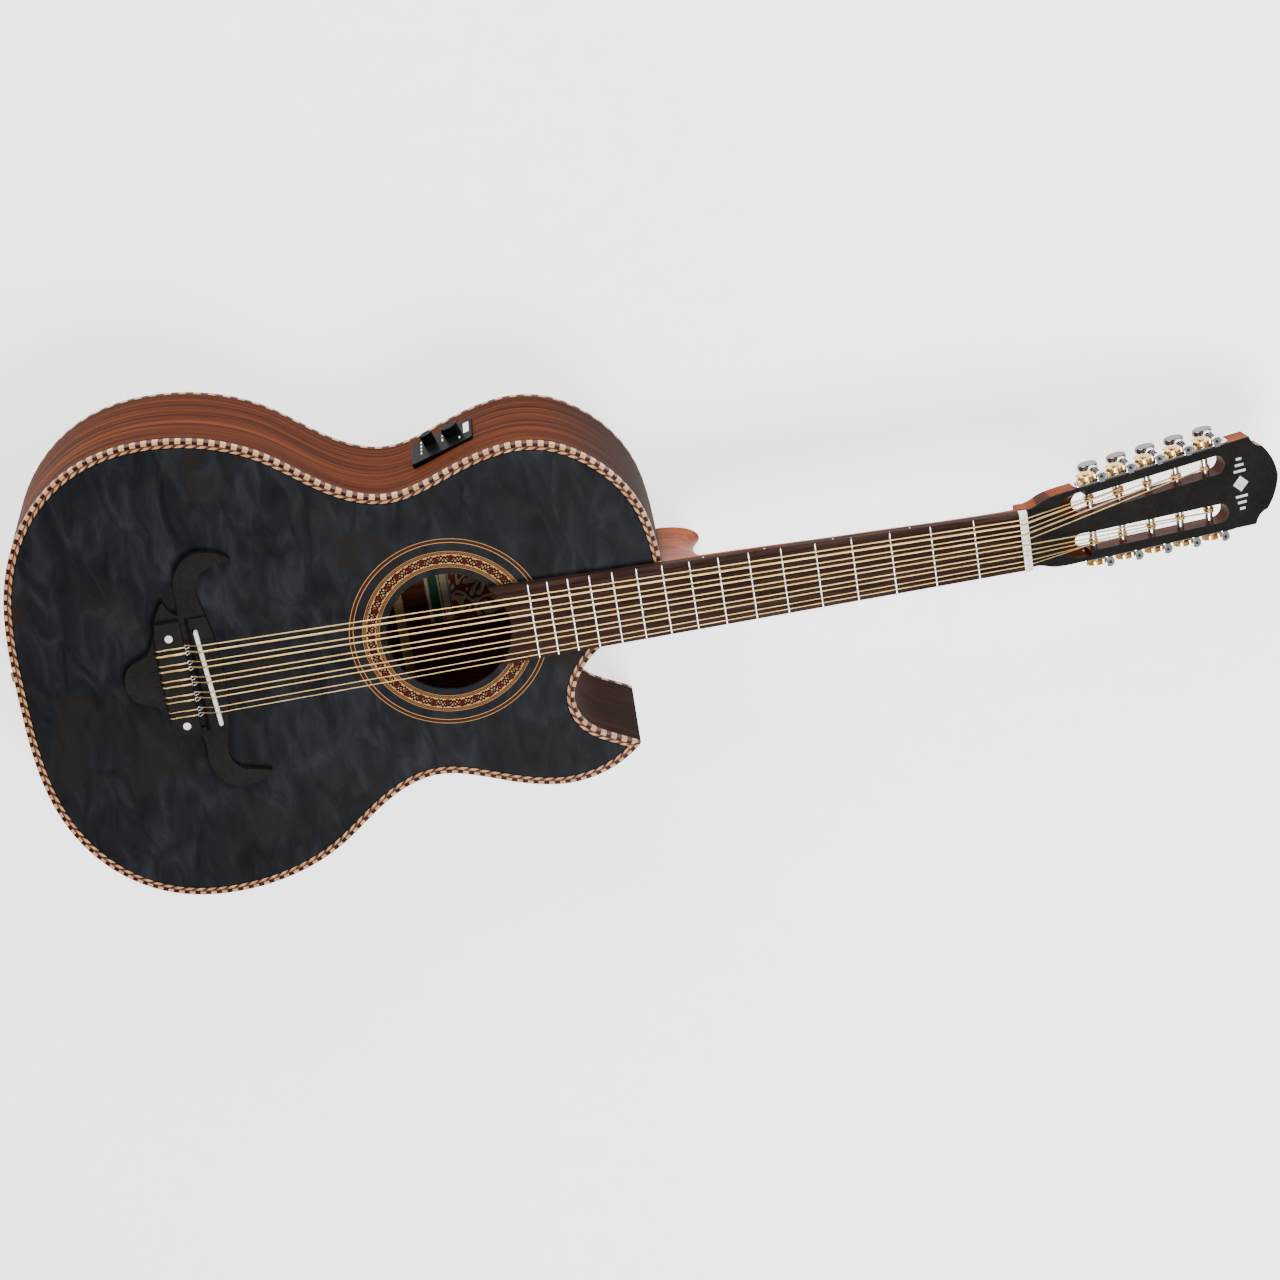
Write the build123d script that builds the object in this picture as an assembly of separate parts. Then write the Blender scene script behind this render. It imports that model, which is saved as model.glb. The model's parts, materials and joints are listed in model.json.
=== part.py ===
from build123d import *
import math
import os

# Ten-string, five-course, flat-backed cutaway instrument of the guitar and lute family, in millimetres.
# X runs from the tail to the head, Y to the bass side and Z out of the soundboard.
# While it is built, X is counted from the front of the nut and Z from the face of the soundboard.
# write_part() moves every piece to the instrument's own origin, on its back under its middle.

# scale and fingerboard
scale_length = 686.0
fret_count = 16
board_half_width = 26.0
board_taper = 0.0193
board_thickness = 6.0
fret_crown = 1.1
fret_tang = (0.6, 2.2)
nut_length = 6.8
nut_height = 8.8
marker_spaces = (3, 5, 7, 9)

# body
body_depth = 125.0
tail_x = -850.0
neck_end_x = -299.5
side_thickness = 3.0
plate_thickness = 3.0
binding_height = 6.0
back_binding_height = 5.0
purfling_width = 3.4
purfling_depth = 1.5
lining_width = 8.0
lining_height = 11.0
upper_bout = [(-301.5, 48), (-309, 82), (-324, 110), (-348, 134.5), (-377, 150.7), (-408, 155.3), (-428, 152.9)]
lower_bout = [(-463.7, 142), (-517, 128), (-561, 144), (-608.6, 179.5), (-655, 199.8), (-700, 206.4),
              (-757, 198), (-795.6, 175), (-829, 132), (-842.5, 95)]
horn_tip = (-341.0, -129.0)
trace_step = 12.0
cutaway_mitre_x = -420.0
cutaway = [horn_tip, (-362.3, -118), (-384, -102), (-390.5, -77), (-381.2, -54.9), (-358.8, -34.5),
           (-330, -27.5), (neck_end_x, -24)]

# soundhole and rosette
hole_x = -485.1
hole_radius = 52.2
rosette_rings = ((57.4, 73.0), (79.8, 83.6))
rosette_depth = 1.2

# braces, as X stations
top_brace_x = (-425, -552, -632, -775)
back_brace_x = (-392, -530, -632, -745)
brace_width = 8.0
top_brace_height = 14.0
back_brace_height = 12.0
brace_gap = 0.5
label_x = (-505.0, -405.0)
label_half_width = 38.0
label_thickness = 0.4

# neck, heel and head
shaft_depth = 15.5
heel_sections = [(-4, 26.5, -200), (-20, 25, -225), (-42, 20.5, -250), (-72, 16.5, -267), (-100, 14.8, -270),
                 (-125, 14.2, -263)]
tenon = (21.0, 20.0, 100.0)
tenon_gap = 0.1
head_angle = 14.0
head_thickness = 17.0
headplate_thickness = 1.6
head_drop = 0.95
head_splice_s = 3.0
edge_start = 30.9
edge_slope = 0.0432
head_corner_s = 207.5
ramp_u = -11.0
ramp_v = -14.5
ramp_radius = 11.0
ramp_angle = 30.0
rod_radius = 2.9
rod_channel = (6.0, 9.0)

# tuners
station_s = 60.0
station_pitch = 26.8
stations = 5
slot_inset = 16.5
slot_radius = 8.5
slot_span = (-7.5, 114.1)
roller_radius = 3.3
running_gap = 0.05
gear_teeth = 16
gear_pitch_radius = 7.7
worm_pitch_radius = 2.8
addendum = 0.6
dedendum = 0.8
worm_offset = 5.0
gear_width = 3.6
plate_sheet = 1.2
lug_radius = 4.4
lug_length = 3.5
shaft_radius = 1.5
button_size = (18.0, 13.0, 6.0)
wood_screws_u = (-9.5, 17.6, 44.4, 71.2, 98.0, 125.2)

# bridge, saddle and strings
tie_block = (-727.0, -704.0, 9.5)
saddle_block = (-699.5, -670.0, 7.5)
block_half_width = 51.0
bridge_base = 5.5
bridge_lobe = [(-759, 0), (-757.5, 9), (-751.5, 16.8), (-744, 20.2), (-736.8, 23.5), (-730.5, 33.5),
               (-726.5, 42), (-724.5, 52), (-721, 60), (-714.6, 68.7)]
bridge_ear = [(-714.6, 68.7), (-711.5, 61), (-704.8, 54.7)]
bridge_horn = [(-704.8, 54.7), (-703.2, 68), (-703, 82), (-700, 91), (-692.5, 101), (-683.5, 106),
               (-671.5, 106), (-659.5, 102.4), (-652.5, 96.6)]
bridge_inner = [(-652.5, 96.6), (-662, 94.6), (-670, 92.8), (-678, 89.3), (-683.2, 83.2), (-685.4, 77),
                (-685.3, 68), (-683, 56)]
bridge_front = [(-683, 56), (-679, 36), (-676.6, 14), (-676, 0), (-676.6, -14), (-679, -36), (-683, -56)]
string_shift = -3.0
saddle_line = (-689.2, 88.0, 3.6, 3.9)
saddle_top = 12.0
saddle_foot = 3.0
slot_floor = 2.0
groove_gap = 0.12
tie_hole_z = 6.2
dot_radius = 3.3
dot_y = 40.0
string_radii = ((0.5, 0.9), (0.5, 0.75), (0.55, 0.6), (0.5, 0.5), (0.38, 0.38))
nut_course_pitch = 9.3
nut_pair_gap = 4.0
saddle_course_pitch = 14.2
saddle_pair_gap = 5.2
string_nut_z = 7.9
winding_v = (-12.5, -13.0, -14.5, -16.5, -17.5)
winding_turns = 3
corners_per_turn = 6

# preamp on the bass side, and the jack in the tail
preamp_x = -465.5
preamp_z = -68.0
preamp_turn = 17.5
preamp_plate = (56.0, 50.0, 3.0)
preamp_box = (50.0, 44.0, 28.0)
knobs = {"volume_knob": (-10.5, 8.5, 5.5, 9.0), "tone_knob": (10.5, 4.0, 7.5, 8.0)}
knob_shaft = 3.0
window_size = (5.0, 24.0)
window_place = (23.0, 5.0)
jack_radius = 6.0
jack_bore = 3.2
jack_length = 34.0
button_radius = 8.5
button_length = 11.0

head_s = math.cos(math.radians(head_angle))
head_n = math.sin(math.radians(head_angle))
head_plane = Plane(origin=(nut_length, 0, head_drop), x_dir=(head_s, 0, -head_n), z_dir=(head_n, 0, head_s))
edge_turn = math.atan(edge_slope)
gear_n = -head_thickness / 2
circular_pitch = 2 * math.pi * gear_pitch_radius / gear_teeth
worm_u = gear_pitch_radius + worm_pitch_radius
worm_length = 4 * circular_pitch
head_end_x = nut_length + 231.0 * head_s
nut_x = -(tail_x - button_length + head_end_x) / 2

parts = {}


def add(name, *shapes):
    parts[name] = list(shapes)


def slab(face, low, high):
    return extrude(Pos(0, 0, low) * face, amount=high - low, dir=(0, 0, 1))


def block(x0, x1, y0, y1, z0, z1):
    return Pos((x0 + x1) / 2, (y0 + y1) / 2, (z0 + z1) / 2) * Box(x1 - x0, y1 - y0, z1 - z0)


def rod(start, end, radius):
    """A round bar between two points."""
    axis = Vector(*end) - Vector(*start)
    plane = Plane(origin=start, z_dir=axis)
    return plane * Cylinder(radius, axis.length, align=(Align.CENTER, Align.CENTER, Align.MIN))


def mirrored(shape):
    return mirror(shape, about=Plane.XZ)


# ---- body ----

def traced(face):
    """The same outline with one smooth curve between each pair of its corners."""
    wire = face.wires()[0]

    def direction(at):
        return wire.tangent_at(at % wire.length, position_mode=PositionMode.LENGTH)

    ends = [0.0]
    for edge in wire.order_edges()[:-1]:
        ends.append(ends[-1] + edge.length)
    corners = [at for at in ends if direction(at - 0.05).get_angle(direction(at + 0.05)) > 12]
    edges = []
    for start, end in zip(corners, corners[1:] + [corners[0] + wire.length]):
        count = round((end - start) / trace_step)
        stops = [(start + (end - start) * i / count) % wire.length for i in range(count + 1)]
        points = [wire.position_at(at, position_mode=PositionMode.LENGTH) for at in stops]
        edges.append(Spline(*points).edge())
    return make_face(edges)


def body_face(inset=0.0):
    """The body's outline seen from the front, moved inwards by inset."""
    bass = upper_bout + lower_bout
    treble = [(x, -y) for x, y in reversed(bass) if x < -350]
    rim = Spline(*[(neck_end_x, 24)], *bass, (tail_x, 0), *treble, horn_tip)
    face = make_face([rim.edge(), Spline(*cutaway).edge(), Line(cutaway[-1], (neck_end_x, 24)).edge()])
    return traced(offset(face, amount=-inset)) if inset else face


outer_face = body_face()
inner_face = body_face(side_thickness)
purfling_face = body_face(side_thickness + purfling_width)
lining_face = body_face(side_thickness + lining_width)
cavity_face = body_face(side_thickness + lining_width + brace_gap)
back_z = -body_depth
back_inside = back_z + plate_thickness


def ring_face(inner, outer):
    return Pos(hole_x, 0) * (Circle(outer) - Circle(inner))


def build_plates():
    board = slab(inner_face, -plate_thickness, 0) - slab(Pos(hole_x, 0) * Circle(hole_radius), -9, 9)
    board -= slab(inner_face - purfling_face, -purfling_depth, 1)
    rings = [slab(ring_face(*ring), -rosette_depth, 0) for ring in rosette_rings]
    for ring in rings:
        board -= ring
    add("soundboard", board)
    add("rosette", *rings)
    add("top_purfling", slab(inner_face - purfling_face, -purfling_depth, 0))
    add("back_plate", slab(inner_face, back_z, back_inside))


def build_blocks():
    inside = slab(inner_face, back_inside, -plate_thickness)
    neck_block = inside & block(-352, neck_end_x, -30, 34, back_inside, -plate_thickness)
    length, width, depth = tenon
    gap = tenon_gap
    mortise = block(neck_end_x - length - gap, neck_end_x + 1, -width / 2 - gap, width / 2 + gap,
                    -depth - gap, -plate_thickness)
    add("neck_block", neck_block - mortise)
    tail_block = inside & block(tail_x, tail_x + 28, -42, 42, back_inside, -plate_thickness)
    jack_z = -body_depth / 2
    add("tail_block", tail_block - rod((tail_x - 5, 0, jack_z), (tail_x + 60, 0, jack_z), jack_radius))
    return neck_block, tail_block, mortise


def build_rim(neck_block, tail_block, mortise):
    wall = slab(outer_face - inner_face, back_z + back_binding_height, -binding_height)
    jack_z = -body_depth / 2
    wall -= mortise
    wall -= rod((tail_x - 5, 0, jack_z), (tail_x + 60, 0, jack_z), jack_radius)
    wall -= preamp_frame * (Pos(0, 0, -15) * Box(preamp_box[0] + 0.2, preamp_box[1] + 0.2, 60))
    half = block(-900, -250, 0, 250, -200, 50)
    add("bass_side", wall & half)
    cutaway_half = block(cutaway_mitre_x, -250, horn_tip[1], 0, -200, 50)
    treble_wall = wall & mirrored(half)
    add("treble_side", treble_wall - cutaway_half, treble_wall & cutaway_half)
    top_binding = slab(outer_face - inner_face, -binding_height, 0) - mortise
    add("top_binding", top_binding)
    add("back_binding", slab(outer_face - inner_face, back_z, back_z + back_binding_height))
    strip = inner_face - lining_face
    linings = []
    preamp_room = preamp_frame * (Pos(0, 0, -15) * Box(preamp_box[0] + 4, preamp_box[1] + 4, 60))
    for low in (back_inside, -plate_thickness - lining_height):
        lining = slab(strip, low, low + lining_height) - neck_block - tail_block - preamp_room
        linings += list(lining.solids())
    add("linings", *linings)


def brace(x, low, high, taper_up):
    """A bar across the body, thinned towards both ends."""
    section = block(x - brace_width / 2, x + brace_width / 2, -250, 250, low, high)
    bar = section & slab(cavity_face, low, high)
    for side in (-1, 1):
        reach = max(abs(bar.bounding_box().min.Y), bar.bounding_box().max.Y)
        wedge = Box(40, 60, high - low)
        lift = (high - low) / 2 if taper_up else -(high - low) / 2
        place = Pos(x, side * reach, (low + high) / 2 + lift) * Rot(side * (-14 if taper_up else 14), 0, 0)
        bar -= place * wedge
    return bar


def build_braces():
    add("top_braces", *[brace(x, -plate_thickness - top_brace_height, -plate_thickness, False)
                        for x in top_brace_x])
    add("back_braces", *[brace(x, back_inside, back_inside + back_brace_height, True) for x in back_brace_x])
    add("bridge_plate", block(-745, -662, -80, 80, -plate_thickness - 2.5, -plate_thickness))


def build_label():
    add("label", block(*label_x, -label_half_width, label_half_width, back_inside, back_inside + label_thickness))


# ---- neck, head and fingerboard ----

def board_width_at(x):
    return board_half_width - board_taper * min(x, 0)


def neck_section(x, depth, power):
    """The neck's cross section below the fingerboard, a superellipse closed by its flat top."""
    half = board_width_at(x)
    points = []
    for step in range(13):
        turn = math.pi * step / 12
        across = math.copysign(abs(math.cos(turn)) ** (2 / power), math.cos(turn))
        points.append((x, half * across, -depth * math.sin(turn) ** (2 / power)))
    points[0] = (x, half, 0)
    points[-1] = (x, -half, 0)
    return make_face([Spline(*points).edge(), Line(points[-1], points[0]).edge()])


def heel_section(z, half, nose_x):
    """One level of the heel: half an ellipse on the flat that meets the body."""
    nose = nose_x - neck_end_x
    arc = EllipticalCenterArc((neck_end_x, 0), nose, half, start_angle=-90, arc_size=180)
    return Pos(0, 0, z) * make_face([arc.edge(), Line((neck_end_x, half), (neck_end_x, -half)).edge()])


def head_edge(s):
    return edge_start + edge_slope * s


def head_face():
    """The head's outline in its own plane, s along the head and t across it."""
    start_s = -5
    flare = [(0, 26.2), (7, 26.3), (18, 30.2), (30, 32.2), (42, head_edge(42))]
    corner = (head_corner_s, head_edge(head_corner_s))
    half = [Line((start_s, 26.2), flare[0]), Spline(*flare), Line(flare[-1], corner),
            ThreePointArc(corner, (212, 32), (219, 28.5)), ThreePointArc((219, 28.5), (227, 15.5), (231, 0))]
    edges = [line.edge() for line in half]
    edges += [mirror(edge, about=Plane.XZ) for edge in edges]
    edges.append(Line((start_s, 26.2), (start_s, -26.2)).edge())
    return make_face(edges)


def tuner_frame():
    """u along the head's edge from the first roller, v outwards from the edge, n out of the face."""
    corner = head_plane.from_local_coords((station_s, head_edge(station_s), 0))
    along = head_plane.from_local_coords((station_s + math.cos(edge_turn),
                                          head_edge(station_s) + math.sin(edge_turn), 0))
    return Plane(origin=corner, x_dir=Vector(*along) - Vector(*corner), z_dir=head_plane.z_dir)


tuners = tuner_frame()
preamp_frame = Plane(origin=(preamp_x, 0, preamp_z), x_dir=(1, 0, 0), z_dir=(0, 1, 0))


def in_tuner(shape):
    return tuners * shape


def head_cuts():
    """Both string slots with their ramps, the roller bores and the screw holes."""
    start, end = slot_span
    slot = SlotCenterToCenter(end - start, 2 * slot_radius)
    cut = extrude(Pos((start + end) / 2, -slot_inset, -head_thickness - 3) * slot, amount=head_thickness + 6)
    slope = math.radians(ramp_angle)
    ramp = rod((ramp_u - 40 * math.cos(slope), ramp_v, 40 * math.sin(slope)),
               (ramp_u + 40 * math.cos(slope), ramp_v, -40 * math.sin(slope)), ramp_radius)
    cut += ramp & block(-60, -6, -40, 0, -16, 5)
    for index in range(stations):
        u = index * station_pitch
        cut += rod((u, -30, gear_n), (u, 5, gear_n), roller_radius + running_gap)
    for u in wood_screws_u:
        cut += rod((u, -7, gear_n), (u, 1, gear_n), 0.9)
    return in_tuner(cut)


def build_neck():
    stations_x = [(neck_end_x, 19, 2.1), (-160, 17, 2.1), (-50, 16, 2.15), (-12, shaft_depth, 2.6),
                  (9, shaft_depth, 5)]
    shaft = loft([neck_section(*station) for station in stations_x])
    heel = loft([heel_section(*section) for section in heel_sections])
    wood = head_plane * extrude(Pos(0, 0, -head_thickness) * head_face(),
                                amount=head_thickness - headplate_thickness)
    length, width, depth = tenon
    neck = shaft + heel + wood
    neck += block(neck_end_x - length, neck_end_x + 1, -width / 2, width / 2, -depth, -plate_thickness - 0.1)
    neck -= block(-500, nut_length, -60, 60, 0, 40)
    neck -= head_plane * block(0, 60, -60, 60, -headplate_thickness, 30)
    cuts = head_cuts()
    neck = neck - cuts - mirrored(cuts)
    channel_width, channel_depth = rod_channel
    neck -= block(neck_end_x + 12, -20, -channel_width / 2, channel_width / 2, -channel_depth, 1)
    head_half = head_plane * block(head_splice_s, 300, -60, 60, -60, 30)
    add("neck", neck - head_half, neck & head_half)
    plate = extrude(Pos(0, 0, -headplate_thickness) * head_face(), amount=headplate_thickness)
    plate = head_plane * (plate - block(-20, 0, -60, 60, -20, 20)) - block(-20, nut_length, -60, 60, 0, 40)
    inlay = head_plane * extrude(Pos(0, 0, -0.6) * inlay_face(), amount=0.6)
    add("headplate", plate - cuts - mirrored(cuts) - inlay)
    add("head_inlay", *inlay.solids())
    add("truss_rod", rod((neck_end_x + 15, 0, -4.5), (-24, 0, -4.5), rod_radius))


def inlay_face():
    """A plain lozenge with three bars on each side of it, across the head."""
    face = Pos(196, 0) * Rot(0, 0, 45) * Rectangle(10, 10)
    for side in (-1, 1):
        for index, reach in enumerate((11, 8, 5)):
            face += Pos(196, side * (11.5 + 5.5 * index)) * Rectangle(reach, 2.2)
    return face


def build_fingerboard():
    end_x = hole_x
    corners = [(0, board_half_width), (end_x, board_width_at(end_x)), (end_x, -board_width_at(end_x)),
               (0, -board_half_width)]
    board = slab(make_face(Polyline(*corners, close=True).edges()), 0, board_thickness)
    board -= slab(Pos(hole_x, 0) * Circle(hole_radius), -1, board_thickness + 1)
    frets = []
    tang_width, tang_depth = fret_tang
    for number in range(1, fret_count + 1):
        x = -scale_length * (1 - 2 ** (-number / 12))
        half = board_width_at(x)
        crown = Pos(x, 0, board_thickness) * Rot(90, 0, 0) * Cylinder(fret_crown, 2 * half - 1.6)
        crown &= block(x - 2, x + 2, -half, half, board_thickness, board_thickness + 2)
        tang = block(x - tang_width / 2, x + tang_width / 2, 0.3 - half, half - 0.3,
                     board_thickness - tang_depth, board_thickness)
        board -= tang
        frets.append(crown + tang)
    dots = []
    for space in marker_spaces:
        x = -scale_length * (1 - (2 ** (-space / 12) + 2 ** (-(space - 1) / 12)) / 2)
        half = board_width_at(x)
        dot = rod((x, half - 2, board_thickness / 2), (x, half, board_thickness / 2), 1.2)
        board -= dot
        dots.append(dot & block(-500, 0, 0, half - 0.05, 0, board_thickness))
    add("fretboard", board)
    add("frets", *frets)
    add("side_dots", *dots)


# ---- tuners ----

def gear():
    """The gear wheel on a roller, its axis on local Z, a gap between two teeth on local +X."""
    tip = gear_pitch_radius + addendum
    root = gear_pitch_radius - dedendum
    wheel = Circle(root)
    for tooth in range(gear_teeth):
        shape = Polyline((root - 0.3, -0.75), (tip, -0.35), (tip, 0.35), (root - 0.3, 0.75), close=True)
        wheel += Rot(0, 0, 360 * tooth / gear_teeth) * make_face(shape.edges())
    return extrude(Rot(0, 0, 180 / gear_teeth) * wheel, amount=gear_width) - Cylinder(2.0, 40)


def worm():
    """The worm on its shaft, its axis on local Z, thread centred on the origin."""
    root = worm_pitch_radius - dedendum
    tip = worm_pitch_radius + addendum
    helix = Helix(pitch=circular_pitch, height=worm_length - circular_pitch, radius=root)
    plane = Plane(origin=helix @ 0, x_dir=(1, 0, 0), z_dir=helix % 0)
    thread = Polyline((-0.3, -0.72), (tip - root, -0.3), (tip - root, 0.3), (-0.3, 0.72), close=True)
    start = -circular_pitch * 1.5
    spiral = Pos(0, 0, start) * sweep(plane * make_face(thread.edges()), path=helix, is_frenet=True)
    core = Cylinder(root, worm_length)
    return core + spiral


def tuner_post(index):
    """A roller across its slot, its gear outside the plate, and the gear's screw."""
    u = index * station_pitch
    gear_v = worm_offset - gear_width / 2
    frame = Plane(origin=(u, 0, gear_n), x_dir=(1, 0, 0), z_dir=(0, 1, 0))
    roller = Pos(0, 0, -29.7) * Cylinder(roller_radius, 29.7 + plate_sheet + 0.2,
                                         align=(Align.CENTER, Align.CENTER, Align.MIN))
    roller += Pos(0, 0, (plate_sheet + 0.2 + gear_v) / 2) * Cylinder(4.4, gear_v - plate_sheet - 0.2)
    roller += Pos(0, 0, gear_v + gear_width / 2) * Cylinder(2.0, gear_width)
    roller -= Pos(0, 0, -slot_inset) * Rot(90, 0, 0) * Cylinder(0.8, 20)
    wheel = Pos(0, 0, gear_v) * gear()
    head = Pos(0, 0, gear_v + gear_width + 0.6) * Cylinder(3.0, 1.2)
    head -= Pos(0, 0, gear_v + gear_width + 1.0) * Box(7, 0.8, 0.8)
    return [in_tuner(frame * piece) for piece in (roller, wheel, head)]


def tuner_button(index):
    """A worm with its shaft through both lugs, and the button behind the head."""
    u = index * station_pitch + worm_u
    lug_front = worm_length / 2 + 0.1 + lug_length
    lug_back = -worm_length / 2 - 0.1 - lug_length
    wide, tall, thick = button_size
    middle = lug_back - 4.0 - tall / 2
    shaft = worm() + rod((0, 0, middle), (0, 0, lug_front - 0.4), shaft_radius)
    oval = extrude(Ellipse(wide / 2, tall / 2), amount=thick / 2, both=True)
    oval = Pos(0, 0, middle) * Rot(90, 0, 0) * fillet(oval.edges(), 2.2)
    collar = rod((0, 0, middle + tall / 2 - 1), (0, 0, lug_back - 0.3), 2.6)
    knob = oval + collar - rod((0, 0, middle), (0, 0, lug_front), shaft_radius)
    place = Pos(u, worm_offset, gear_n)
    return [in_tuner(place * shaft), in_tuner(place * knob)]


def tuner_plate():
    """The plate on one edge of the head, with a pair of lugs for each worm."""
    low, high = wood_screws_u[0] - 4, wood_screws_u[-1] + 4
    plate = block(low, high, 0, plate_sheet, -15.6, -1.4)
    plate = fillet(plate.edges().filter_by(Axis.Y), 3.5)
    front = gear_n + worm_length / 2 + 0.1
    back = gear_n - worm_length / 2 - 0.1
    for index in range(stations):
        u = index * station_pitch
        plate -= rod((u, -1, gear_n), (u, 3, gear_n), roller_radius + running_gap)
        for near, far in ((front, front + lug_length), (back - lug_length, back)):
            lug = Pos(u + worm_u, worm_offset, (near + far) / 2) * Cylinder(lug_radius, far - near)
            lug = fillet(lug.edges(), 0.9)
            web = block(u + worm_u - 2.4, u + worm_u + 2.4, 0, worm_offset, near, far)
            tie = block(u + worm_u - 2.4, u + worm_u + 2.4, 0, plate_sheet, min(near, -3), max(far, -14))
            plate += lug + web + tie
        plate -= rod((u + worm_u, worm_offset, -40), (u + worm_u, worm_offset, 10), shaft_radius + running_gap)
        plate -= rod((u + worm_u, worm_offset, back), (u + worm_u, worm_offset, front),
                     worm_pitch_radius + addendum + 0.3)
    for u in wood_screws_u:
        plate -= rod((u, -1, gear_n), (u, 3, gear_n), 0.9)
    return in_tuner(plate - block(-60, 200, -20, 0, -60, 20))


def wood_screw(u):
    shank = rod((u, -6.5, gear_n), (u, plate_sheet, gear_n), 0.9)
    head = rod((u, plate_sheet, gear_n), (u, plate_sheet + 1.1, gear_n), 1.9)
    slot = block(u - 2, u + 2, plate_sheet + 0.6, plate_sheet + 2, gear_n - 0.25, gear_n + 0.25)
    return in_tuner(shank + head - slot)


def build_tuners():
    screws = [wood_screw(u) for u in wood_screws_u]
    add("tuner_screws", *screws, *[mirrored(screw) for screw in screws])
    plate = tuner_plate()
    add("bass_tuner_plate", plate)
    add("treble_tuner_plate", mirrored(plate))
    for index in range(stations):
        post = tuner_post(index)
        button = tuner_button(index)
        add(f"bass_roller_{index + 1}", *post)
        add(f"bass_button_{index + 1}", *button)
        add(f"treble_roller_{index + 1}", *[mirrored(piece) for piece in post])
        add(f"treble_button_{index + 1}", *[mirrored(piece) for piece in button])


# ---- strings ----

def string_table():
    """Each string's radius and its distance from the centre line at the nut and at the saddle."""
    rows = []
    for course, radii in enumerate(string_radii):
        for member, radius in enumerate(radii):
            half_step = 0.5 - member
            nut_y = (2 - course) * nut_course_pitch + half_step * nut_pair_gap
            saddle_y = (2 - course) * saddle_course_pitch + half_step * saddle_pair_gap + string_shift
            rows.append((radius, nut_y, saddle_y))
    return rows


def saddle_x_at(y):
    centre, length, width, turn = saddle_line
    return centre - (y - string_shift) * math.tan(math.radians(turn))


def winding(nut_point, radius, station, side):
    """Corners of the turns round a roller, from where the string comes down onto it."""
    local = tuners.to_local_coords(Vector(nut_point.X, side * nut_point.Y, nut_point.Z))
    centre_u = station * station_pitch
    reach = roller_radius + 0.12 + radius
    across, rise = centre_u - local.X, local.Z - gear_n
    distance = math.hypot(across, rise)
    tangent = math.atan2(rise, -across) - math.acos(reach / distance)
    step = 2 * math.pi / corners_per_turn
    corner_radius = reach / math.cos(step / 2)
    pitch = 2 * radius + 0.2
    corners = []
    for corner in range(winding_turns * corners_per_turn):
        turn = tangent - step / 2 - corner * step
        v = winding_v[station] - pitch * corner / corners_per_turn
        point = tuners.from_local_coords((centre_u + corner_radius * math.cos(turn), v,
                                          gear_n + corner_radius * math.sin(turn)))
        corners.append(Vector(point.X, side * point.Y, point.Z))
    return corners


def arc_radius(before, corner, after, largest):
    """0.45 of the shorter run over the tangent of half the turn, and no more than largest."""
    first, second = corner - before, after - corner
    turn = math.radians(first.get_angle(second))
    return min(largest, 0.45 * min(first.length, second.length) / math.tan(turn / 2))


def string_route(number):
    radius, nut_y, saddle_y = string_table()[number]
    side = 1 if number < 5 else -1
    station = number if side > 0 else 9 - number
    back_x, front_x, top = tie_block
    behind = back_x - radius - 0.6
    lie = top + radius + 0.05
    points = [Vector(front_x + 1.0, saddle_y, lie), Vector(behind, saddle_y, lie),
              Vector(behind, saddle_y, tie_hole_z), Vector(front_x, saddle_y, tie_hole_z),
              Vector(saddle_x_at(saddle_y), saddle_y, saddle_top + radius + 0.05),
              Vector(2.0, nut_y, string_nut_z + radius)]
    points += winding(points[-1], radius, station, side)
    largest = [0, 2.0, 2.0, 5.0, 5.0, 8.0] + [20.0] * (len(points) - 6)
    radii = [arc_radius(points[i - 1], points[i], points[i + 1], largest[i])
             for i in range(1, len(points) - 1)]
    path = FilletPolyline(*points, radius=radii)
    return path, radius, points, radii


def string_solid(number):
    path, radius, points, radii = string_route(number)
    start = Plane(origin=path @ 0, z_dir=path % 0)
    solid = sweep(start * Circle(radius), path=path)
    expected = math.pi * radius ** 2 * path.length
    print(f"string {number + 1}: length {path.length:.0f}, tightest arc {min(radii):.2f}, "
          f"volume over section times length {solid.volume / expected:.4f}")
    return solid, points


def grooved(shape, points, radius):
    """The nut or the saddle with the groove that a string's bend lies in."""
    before, bend, after = points
    for end in (before, after):
        along = (end - bend).normalized()
        shape -= rod(bend - along * 0.7, bend + along * 12, radius)
    return shape


def build_strings():
    nut = Polyline((0, 0, 0), (0, 0, nut_height), (2.2, 0, nut_height), (nut_length, 0, nut_height - 1.4),
                   (nut_length, 0, 0), close=True)
    nut_block = extrude(make_face(nut.edges()), amount=board_half_width, both=True)
    saddle = slab(saddle_outline(saddle_line[2], saddle_line[1]), saddle_foot, saddle_top)
    saddle = fillet(saddle.edges().group_by(Axis.Z)[-1], 1.2)
    for course in range(5):
        solids = []
        for number in (2 * course, 2 * course + 1):
            solid, points = string_solid(number)
            solids.append(solid)
            radius = string_radii[course][number % 2] + groove_gap
            saddle = grooved(saddle, points[3:6], radius)
            nut_block = grooved(nut_block, points[4:7], radius)
        add(f"course_{course + 1}_strings", *solids)
    add("nut", nut_block)
    add("saddle", saddle)


# ---- bridge ----

def bridge_face():
    half = [Spline(*bridge_lobe).edge(), Spline(*bridge_ear).edge(), Spline(*bridge_horn).edge(),
            Spline(*bridge_inner).edge()]
    edges = half + [mirror(edge, about=Plane.XZ) for edge in half] + [Spline(*bridge_front).edge()]
    return make_face(edges)


def saddle_outline(width, length):
    x, full, thick, turn = saddle_line
    return Pos(x, string_shift) * Rot(0, 0, 90 + turn) * SlotOverall(length, width)


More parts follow.
